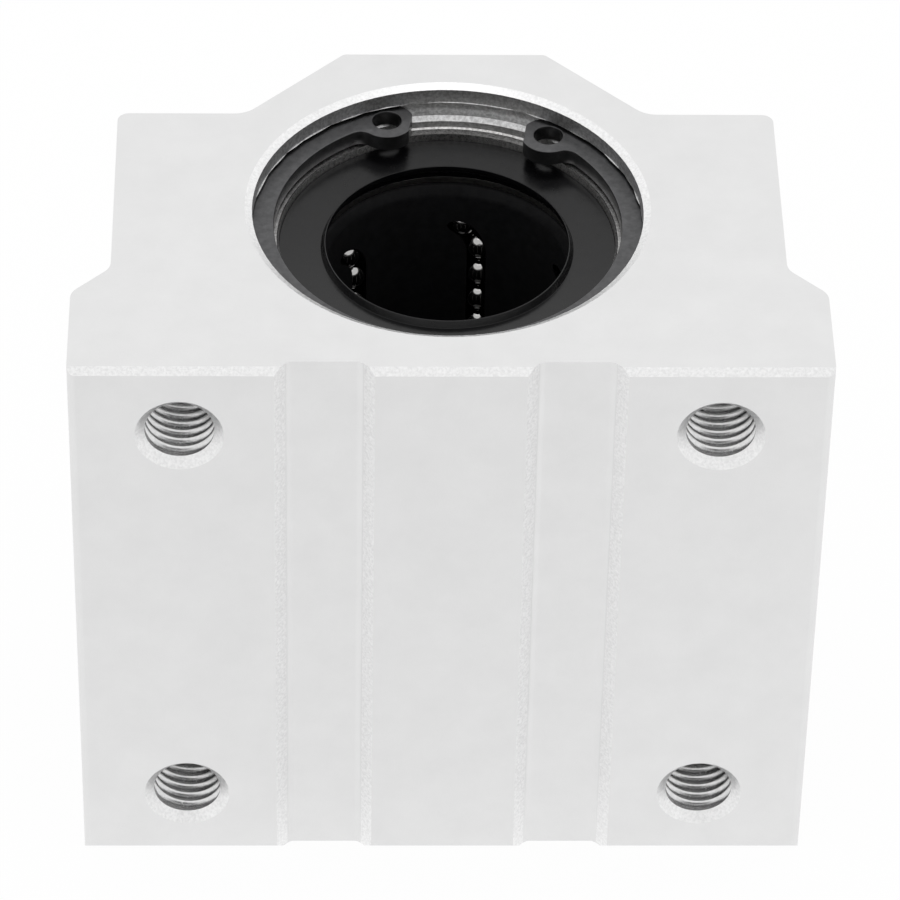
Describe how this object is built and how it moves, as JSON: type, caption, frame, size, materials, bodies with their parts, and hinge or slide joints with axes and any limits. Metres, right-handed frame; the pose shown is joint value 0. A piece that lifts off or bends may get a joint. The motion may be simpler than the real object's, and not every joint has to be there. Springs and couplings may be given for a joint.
{
  "type": "linear bearing block",
  "caption": "Closed extruded linear bearing block with a sealed recirculating ball bearing held by two internal retaining rings, bolted down through its flat mounting face.",
  "frame": {"origin": "on the shaft axis at half the block's length", "axes": "+Z along the shaft, away from the end face that the block stands on; -Y out of the mounting face; +X across the block"},
  "size_m": [0.076, 0.0515, 0.067],
  "materials": {
    "housing": "matt blasted and clear anodised extrusion with machined ends",
    "retaining_ring": "satin grey phosphated spring steel",
    "sleeve": "ground bearing steel",
    "cage": "moulded black resin",
    "snap_ring": "bright spring steel",
    "seal": "moulded black nitrile rubber",
    "balls": "polished bearing steel"
  },
  "bodies": {
    "block": {"housing": "housing", "upper_retaining_ring": "retaining_ring", "lower_retaining_ring": "retaining_ring", "bearing_sleeve": "sleeve", "ball_cage": "cage", "upper_snap_ring": "snap_ring", "lower_snap_ring": "snap_ring", "upper_seal": "seal", "lower_seal": "seal"},
    "circuit_1_loaded_row": {"circuit_1_loaded_row": "balls"},
    "circuit_1_upper_turn": {"circuit_1_upper_turn": "balls"},
    "circuit_1_return_row": {"circuit_1_return_row": "balls"},
    "circuit_1_lower_turn": {"circuit_1_lower_turn": "balls"},
    "circuit_2_loaded_row": {"circuit_2_loaded_row": "balls"},
    "circuit_2_upper_turn": {"circuit_2_upper_turn": "balls"},
    "circuit_2_return_row": {"circuit_2_return_row": "balls"},
    "circuit_2_lower_turn": {"circuit_2_lower_turn": "balls"},
    "circuit_3_loaded_row": {"circuit_3_loaded_row": "balls"},
    "circuit_3_upper_turn": {"circuit_3_upper_turn": "balls"},
    "circuit_3_return_row": {"circuit_3_return_row": "balls"},
    "circuit_3_lower_turn": {"circuit_3_lower_turn": "balls"},
    "circuit_4_loaded_row": {"circuit_4_loaded_row": "balls"},
    "circuit_4_upper_turn": {"circuit_4_upper_turn": "balls"},
    "circuit_4_return_row": {"circuit_4_return_row": "balls"},
    "circuit_4_lower_turn": {"circuit_4_lower_turn": "balls"},
    "circuit_5_loaded_row": {"circuit_5_loaded_row": "balls"},
    "circuit_5_upper_turn": {"circuit_5_upper_turn": "balls"},
    "circuit_5_return_row": {"circuit_5_return_row": "balls"},
    "circuit_5_lower_turn": {"circuit_5_lower_turn": "balls"},
    "circuit_6_loaded_row": {"circuit_6_loaded_row": "balls"},
    "circuit_6_upper_turn": {"circuit_6_upper_turn": "balls"},
    "circuit_6_return_row": {"circuit_6_return_row": "balls"},
    "circuit_6_lower_turn": {"circuit_6_lower_turn": "balls"}
  },
  "joints": [
    {"name": "circuit_1_loaded_travel", "type": "slide", "parent": "block", "child": "circuit_1_loaded_row", "axis": [0, 0, 1], "range_m": [-0.00284, 0.00062]},
    {"name": "circuit_1_return_travel", "type": "slide", "parent": "block", "child": "circuit_1_return_row", "axis": [0, 0, -1], "range_m": [-0.00284, 0.00062]},
    {"name": "circuit_1_upper_turn_swing", "type": "hinge", "parent": "block", "child": "circuit_1_upper_turn", "pos_m": [0.01285, 0.00671, 0.0173], "axis": [-0.9686, -0.2487, 0], "range_deg": [-49.2, 10.8]},
    {"name": "circuit_1_lower_turn_swing", "type": "hinge", "parent": "block", "child": "circuit_1_lower_turn", "pos_m": [0.01285, 0.00671, -0.0173], "axis": [-0.9686, -0.2487, 0], "range_deg": [-49.2, 10.8]},
    {"name": "circuit_2_loaded_travel", "type": "slide", "parent": "block", "child": "circuit_2_loaded_row", "axis": [0, 0, 1], "range_m": [-0.00028, 0.00318]},
    {"name": "circuit_2_return_travel", "type": "slide", "parent": "block", "child": "circuit_2_return_row", "axis": [0, 0, -1], "range_m": [-0.00028, 0.00318]},
    {"name": "circuit_2_upper_turn_swing", "type": "hinge", "parent": "block", "child": "circuit_2_upper_turn", "pos_m": [0.00061, 0.01449, 0.0173], "axis": [-0.2689, -0.9632, 0], "range_deg": [-4.8, 55.2]},
    {"name": "circuit_2_lower_turn_swing", "type": "hinge", "parent": "block", "child": "circuit_2_lower_turn", "pos_m": [0.00061, 0.01449, -0.0173], "axis": [-0.2689, -0.9632, 0], "range_deg": [-4.8, 55.2]},
    {"name": "circuit_3_loaded_travel", "type": "slide", "parent": "block", "child": "circuit_3_loaded_row", "axis": [0, 0, 1], "range_m": [-0.00239, 0.00107]},
    {"name": "circuit_3_return_travel", "type": "slide", "parent": "block", "child": "circuit_3_return_row", "axis": [0, 0, -1], "range_m": [-0.00239, 0.00107]},
    {"name": "circuit_3_upper_turn_swing", "type": "hinge", "parent": "block", "child": "circuit_3_upper_turn", "pos_m": [-0.01224, 0.00777, 0.0173], "axis": [0.6997, -0.7145, 0], "range_deg": [-41.4, 18.6]},
    {"name": "circuit_3_lower_turn_swing", "type": "hinge", "parent": "block", "child": "circuit_3_lower_turn", "pos_m": [-0.01224, 0.00777, -0.0173], "axis": [0.6997, -0.7145, 0], "range_deg": [-41.4, 18.6]},
    {"name": "circuit_4_loaded_travel", "type": "slide", "parent": "block", "child": "circuit_4_loaded_row", "axis": [0, 0, 1], "range_m": [-0.00138, 0.00208]},
    {"name": "circuit_4_return_travel", "type": "slide", "parent": "block", "child": "circuit_4_return_row", "axis": [0, 0, -1], "range_m": [-0.00138, 0.00208]},
    {"name": "circuit_4_upper_turn_swing", "type": "hinge", "parent": "block", "child": "circuit_4_upper_turn", "pos_m": [-0.01285, -0.00671, 0.0173], "axis": [0.9686, 0.2487, 0], "range_deg": [-24, 36]},
    {"name": "circuit_4_lower_turn_swing", "type": "hinge", "parent": "block", "child": "circuit_4_lower_turn", "pos_m": [-0.01285, -0.00671, -0.0173], "axis": [0.9686, 0.2487, 0], "range_deg": [-24, 36]},
    {"name": "circuit_5_loaded_travel", "type": "slide", "parent": "block", "child": "circuit_5_loaded_row", "axis": [0, 0, 1], "range_m": [-0.00311, 0.00035]},
    {"name": "circuit_5_return_travel", "type": "slide", "parent": "block", "child": "circuit_5_return_row", "axis": [0, 0, -1], "range_m": [-0.00311, 0.00035]},
    {"name": "circuit_5_upper_turn_swing", "type": "hinge", "parent": "block", "child": "circuit_5_upper_turn", "pos_m": [-0.00061, -0.01449, 0.0173], "axis": [0.2689, 0.9632, 0], "range_deg": [-54, 6]},
    {"name": "circuit_5_lower_turn_swing", "type": "hinge", "parent": "block", "child": "circuit_5_lower_turn", "pos_m": [-0.00061, -0.01449, -0.0173], "axis": [0.2689, 0.9632, 0], "range_deg": [-54, 6]},
    {"name": "circuit_6_loaded_travel", "type": "slide", "parent": "block", "child": "circuit_6_loaded_row", "axis": [0, 0, 1], "range_m": [-0.00083, 0.00263]},
    {"name": "circuit_6_return_travel", "type": "slide", "parent": "block", "child": "circuit_6_return_row", "axis": [0, 0, -1], "range_m": [-0.00083, 0.00263]},
    {"name": "circuit_6_upper_turn_swing", "type": "hinge", "parent": "block", "child": "circuit_6_upper_turn", "pos_m": [0.01224, -0.00777, 0.0173], "axis": [-0.6997, 0.7145, 0], "range_deg": [-14.4, 45.6]},
    {"name": "circuit_6_lower_turn_swing", "type": "hinge", "parent": "block", "child": "circuit_6_lower_turn", "pos_m": [0.01224, -0.00777, -0.0173], "axis": [-0.6997, 0.7145, 0], "range_deg": [-14.4, 45.6]}
  ],
  "couplings": [
    {"joint": "circuit_1_return_travel", "follows": "circuit_1_loaded_travel", "ratio": 1},
    {"joint": "circuit_1_upper_turn_swing", "follows": "circuit_1_loaded_travel", "rad_per_m": 302.66},
    {"joint": "circuit_1_lower_turn_swing", "follows": "circuit_1_loaded_travel", "rad_per_m": 302.66},
    {"joint": "circuit_2_return_travel", "follows": "circuit_2_loaded_travel", "ratio": 1},
    {"joint": "circuit_2_upper_turn_swing", "follows": "circuit_2_loaded_travel", "rad_per_m": 302.66},
    {"joint": "circuit_2_lower_turn_swing", "follows": "circuit_2_loaded_travel", "rad_per_m": 302.66},
    {"joint": "circuit_3_return_travel", "follows": "circuit_3_loaded_travel", "ratio": 1},
    {"joint": "circuit_3_upper_turn_swing", "follows": "circuit_3_loaded_travel", "rad_per_m": 302.66},
    {"joint": "circuit_3_lower_turn_swing", "follows": "circuit_3_loaded_travel", "rad_per_m": 302.66},
    {"joint": "circuit_4_return_travel", "follows": "circuit_4_loaded_travel", "ratio": 1},
    {"joint": "circuit_4_upper_turn_swing", "follows": "circuit_4_loaded_travel", "rad_per_m": 302.66},
    {"joint": "circuit_4_lower_turn_swing", "follows": "circuit_4_loaded_travel", "rad_per_m": 302.66},
    {"joint": "circuit_5_return_travel", "follows": "circuit_5_loaded_travel", "ratio": 1},
    {"joint": "circuit_5_upper_turn_swing", "follows": "circuit_5_loaded_travel", "rad_per_m": 302.66},
    {"joint": "circuit_5_lower_turn_swing", "follows": "circuit_5_loaded_travel", "rad_per_m": 302.66},
    {"joint": "circuit_6_return_travel", "follows": "circuit_6_loaded_travel", "ratio": 1},
    {"joint": "circuit_6_upper_turn_swing", "follows": "circuit_6_loaded_travel", "rad_per_m": 302.66},
    {"joint": "circuit_6_lower_turn_swing", "follows": "circuit_6_loaded_travel", "rad_per_m": 302.66}
  ]
}
